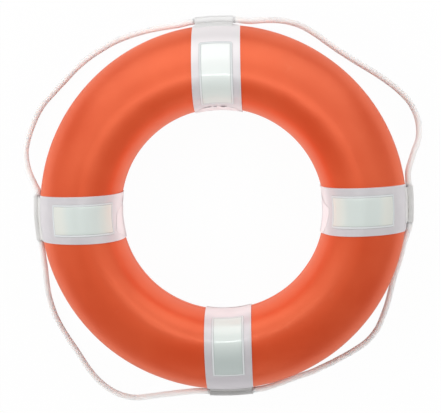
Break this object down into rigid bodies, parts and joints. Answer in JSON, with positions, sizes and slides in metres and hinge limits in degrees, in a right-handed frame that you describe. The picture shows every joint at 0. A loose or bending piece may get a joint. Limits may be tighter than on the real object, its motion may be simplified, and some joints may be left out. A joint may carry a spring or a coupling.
{
  "type": "life ring",
  "caption": "Round foam life ring in a vinyl cover, with wrapped bands, reflective patches on both faces and a grab line threaded through sleeves round the outside.",
  "frame": {"origin": "centre of the ring, at the height of the surface it lies on", "axes": "+Z along the ring's axis, out of its front face; +Y towards the top of the front face; +X to the right of the front face"},
  "size_m": [0.6664, 0.6529, 0.1336],
  "materials": {
    "orange_vinyl": "satin, fine leather-like grain",
    "white_foam": "closed-cell foam, matt",
    "white_vinyl": "coated fabric, semi-gloss",
    "reflective_film": "retroreflective film, glossy",
    "braided_rope": "braided polypropylene, matt"
  },
  "bodies": {
    "root": {"foam_core": "white_foam", "front_cover": "orange_vinyl", "back_cover": "orange_vinyl", "band_right": "white_vinyl", "front_reflector_right": "reflective_film", "back_reflector_right": "reflective_film", "rope_sleeve_right": "white_vinyl", "held_rope_right": "braided_rope", "band_top": "white_vinyl", "front_reflector_top": "reflective_film", "back_reflector_top": "reflective_film", "rope_sleeve_top": "white_vinyl", "held_rope_top": "braided_rope", "band_left": "white_vinyl", "front_reflector_left": "reflective_film", "back_reflector_left": "reflective_film", "rope_sleeve_left": "white_vinyl", "held_rope_left": "braided_rope", "band_bottom": "white_vinyl", "front_reflector_bottom": "reflective_film", "back_reflector_bottom": "reflective_film", "rope_sleeve_bottom": "white_vinyl", "held_rope_bottom": "braided_rope", "rope_bay_top_left": "braided_rope", "rope_bay_bottom_left": "braided_rope", "rope_bay_bottom_right": "braided_rope", "rope_bay_top_right": "braided_rope"}
  },
  "joints": []
}
